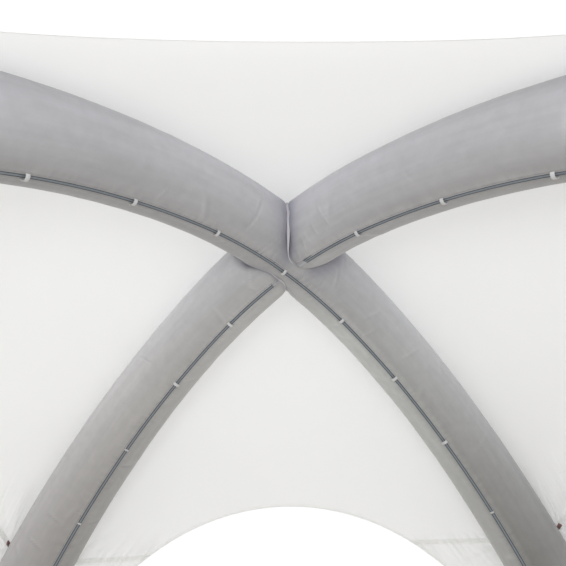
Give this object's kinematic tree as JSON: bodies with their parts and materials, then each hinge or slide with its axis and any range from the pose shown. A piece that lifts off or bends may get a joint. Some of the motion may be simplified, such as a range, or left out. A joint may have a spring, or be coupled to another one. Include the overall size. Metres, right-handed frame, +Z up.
{
  "type": "inflatable dome tent",
  "caption": "Free-standing dome tent with crossed air beams on upright feet, a taut white canopy with arched openings, zipped beam sleeves and air valves.",
  "frame": {"origin": "on the ground, under the crossing of the beams, at the centre of the four feet", "axes": "+Z up; the openings face -Y (near), +X, +Y and -X; beam A runs from the (-X, -Y) foot to the (+X, +Y) foot"},
  "size_m": [4.2158, 4.2158, 3.207],
  "materials": {
    "sleeve_fabric": "matte woven polyester, light grey",
    "bladder_film": "translucent film",
    "zip_tape": "woven zip tape, blue grey",
    "zip_coil": "moulded coil, dark blue grey",
    "zip_metal": "gunmetal paint",
    "white_webbing": "white polyester webbing",
    "canopy_cloth": "off-white coated cloth, translucent",
    "canopy_binding": "off-white woven binding",
    "foot_rubber": "matte moulded rubber",
    "grommet_brass": "rolled brass",
    "dark_webbing": "dark webbing",
    "ring_steel": "zinc plated wire",
    "valve_black": "moulded, satin",
    "valve_red": "moulded, red",
    "relief_grey": "moulded, grey"
  },
  "bodies": {
    "tent": {"beam_a_sleeve": "sleeve_fabric", "beam_b_near_sleeve": "sleeve_fabric", "beam_b_far_sleeve": "sleeve_fabric", "beam_a_bladder": "bladder_film", "beam_b_near_bladder": "bladder_film", "beam_b_far_bladder": "bladder_film", "zip_tape_a": "zip_tape", "zip_tape_b_near": "zip_tape", "zip_tape_b_far": "zip_tape", "zip_coil_a": "zip_coil", "zip_coil_b_near": "zip_coil", "zip_coil_b_far": "zip_coil", "loops_a": "white_webbing", "loops_b_near": "white_webbing", "loops_b_far": "white_webbing", "mitre_seam_near": "sleeve_fabric", "mitre_seam_far": "sleeve_fabric", "canopy_near": "canopy_cloth", "wings_near": "canopy_cloth", "hem_near": "canopy_binding", "canopy_right": "canopy_cloth", "wings_right": "canopy_cloth", "hem_right": "canopy_binding", "canopy_far": "canopy_cloth", "wings_far": "canopy_cloth", "hem_far": "canopy_binding", "canopy_left": "canopy_cloth", "wings_left": "canopy_cloth", "hem_left": "canopy_binding", "corner_bands": "canopy_binding", "ridge_tapes": "canopy_binding", "crown_patch": "canopy_binding", "foot_pads": "foot_rubber", "peg_grommets": "grommet_brass", "anchor_straps": "dark_webbing", "valve_body_a": "valve_black", "valve_body_b_near": "valve_black", "valve_body_b_far": "valve_black", "relief_bodies": "valve_black"},
    "slider_near_left": {"slider_near_left": "zip_metal"},
    "pull_near_left": {"pull_near_left": "zip_metal"},
    "ring_near_left": {"ring_near_left": "ring_steel"},
    "slider_near_right": {"slider_near_right": "zip_metal"},
    "pull_near_right": {"pull_near_right": "zip_metal"},
    "ring_near_right": {"ring_near_right": "ring_steel"},
    "slider_far_right": {"slider_far_right": "zip_metal"},
    "pull_far_right": {"pull_far_right": "zip_metal"},
    "ring_far_right": {"ring_far_right": "ring_steel"},
    "slider_far_left": {"slider_far_left": "zip_metal"},
    "pull_far_left": {"pull_far_left": "zip_metal"},
    "ring_far_left": {"ring_far_left": "ring_steel"},
    "valve_poppet_a": {"valve_poppet_a": "valve_red"},
    "valve_cap_a": {"valve_cap_a": "valve_black"},
    "relief_poppet_a": {"relief_poppet_a": "relief_grey"},
    "valve_poppet_b_near": {"valve_poppet_b_near": "valve_red"},
    "valve_cap_b_near": {"valve_cap_b_near": "valve_black"},
    "relief_poppet_b_near": {"relief_poppet_b_near": "relief_grey"},
    "valve_poppet_b_far": {"valve_poppet_b_far": "valve_red"},
    "valve_cap_b_far": {"valve_cap_b_far": "valve_black"},
    "relief_poppet_b_far": {"relief_poppet_b_far": "relief_grey"}
  },
  "joints": [
    {"name": "zip_travel_near_left", "type": "hinge", "parent": "tent", "child": "slider_near_left", "pos_m": [0.25825, 0.25825, 0.008], "axis": [-0.7071, 0.7071, 0], "range_deg": [0, 68]},
    {"name": "pull_swing_near_left", "type": "hinge", "parent": "slider_near_left", "child": "pull_near_left", "pos_m": [-1.77096, -1.75304, 0.18275], "axis": [0.7508, -0.6605, -0.0039], "range_deg": [0, 150]},
    {"name": "ring_swing_near_left", "type": "hinge", "parent": "tent", "child": "ring_near_left", "pos_m": [-2.04245, -2.04245, 0.23378], "axis": [-0.7071, 0.7071, 0], "range_deg": [0, 150]},
    {"name": "zip_travel_near_right", "type": "hinge", "parent": "tent", "child": "slider_near_right", "pos_m": [-0.25825, 0.25825, 0.008], "axis": [-0.7071, -0.7071, 0], "range_deg": [0, 68]},
    {"name": "pull_swing_near_right", "type": "hinge", "parent": "slider_near_right", "child": "pull_near_right", "pos_m": [1.77096, -1.75304, 0.18275], "axis": [0.7508, 0.6605, 0.0039], "range_deg": [0, 150]},
    {"name": "ring_swing_near_right", "type": "hinge", "parent": "tent", "child": "ring_near_right", "pos_m": [2.04245, -2.04245, 0.23378], "axis": [-0.7071, -0.7071, 0], "range_deg": [0, 150]},
    {"name": "zip_travel_far_right", "type": "hinge", "parent": "tent", "child": "slider_far_right", "pos_m": [-0.25825, -0.25825, 0.008], "axis": [0.7071, -0.7071, 0], "range_deg": [0, 68]},
    {"name": "pull_swing_far_right", "type": "hinge", "parent": "slider_far_right", "child": "pull_far_right", "pos_m": [1.75304, 1.77096, 0.18275], "axis": [-0.6605, 0.7508, 0.0039], "range_deg": [0, 150]},
    {"name": "ring_swing_far_right", "type": "hinge", "parent": "tent", "child": "ring_far_right", "pos_m": [2.04245, 2.04245, 0.23378], "axis": [0.7071, -0.7071, 0], "range_deg": [0, 150]},
    {"name": "zip_travel_far_left", "type": "hinge", "parent": "tent", "child": "slider_far_left", "pos_m": [0.25825, -0.25825, 0.008], "axis": [0.7071, 0.7071, 0], "range_deg": [0, 68]},
    {"name": "pull_swing_far_left", "type": "hinge", "parent": "slider_far_left", "child": "pull_far_left", "pos_m": [-1.75304, 1.77096, 0.18275], "axis": [-0.6605, -0.7508, -0.0039], "range_deg": [0, 150]},
    {"name": "ring_swing_far_left", "type": "hinge", "parent": "tent", "child": "ring_far_left", "pos_m": [-2.04245, 2.04245, 0.23378], "axis": [0.7071, 0.7071, 0], "range_deg": [0, 150]},
    {"name": "valve_press_a", "type": "slide", "parent": "tent", "child": "valve_poppet_a", "axis": [0.2974, -0.9513, 0.0815], "range_m": [0, 0.0035], "stiffness_N_per_m": 300},
    {"name": "cap_hinge_a", "type": "hinge", "parent": "tent", "child": "valve_cap_a", "pos_m": [-1.92608, -1.68671, 0.55229], "axis": [0.9468, 0.2829, -0.1533], "range_deg": [0, 110]},
    {"name": "relief_lift_a", "type": "slide", "parent": "tent", "child": "relief_poppet_a", "axis": [-0.3052, 0.9434, -0.1294], "range_m": [0, 0.004], "stiffness_N_per_m": 600},
    {"name": "valve_press_b_near", "type": "slide", "parent": "tent", "child": "valve_poppet_b_near", "axis": [0.9513, 0.2974, 0.0815], "range_m": [0, 0.0035], "stiffness_N_per_m": 300},
    {"name": "cap_hinge_b_near", "type": "hinge", "parent": "tent", "child": "valve_cap_b_near", "pos_m": [1.68671, -1.92608, 0.55229], "axis": [-0.2829, 0.9468, -0.1533], "range_deg": [0, 110]},
    {"name": "relief_lift_b_near", "type": "slide", "parent": "tent", "child": "relief_poppet_b_near", "axis": [-0.9434, -0.3052, -0.1294], "range_m": [0, 0.004], "stiffness_N_per_m": 600},
    {"name": "valve_press_b_far", "type": "slide", "parent": "tent", "child": "valve_poppet_b_far", "axis": [-0.9513, -0.2974, 0.0815], "range_m": [0, 0.0035], "stiffness_N_per_m": 300},
    {"name": "cap_hinge_b_far", "type": "hinge", "parent": "tent", "child": "valve_cap_b_far", "pos_m": [-1.68671, 1.92608, 0.55229], "axis": [0.2829, -0.9468, -0.1533], "range_deg": [0, 110]},
    {"name": "relief_lift_b_far", "type": "slide", "parent": "tent", "child": "relief_poppet_b_far", "axis": [0.9434, 0.3052, -0.1294], "range_m": [0, 0.004], "stiffness_N_per_m": 600}
  ]
}
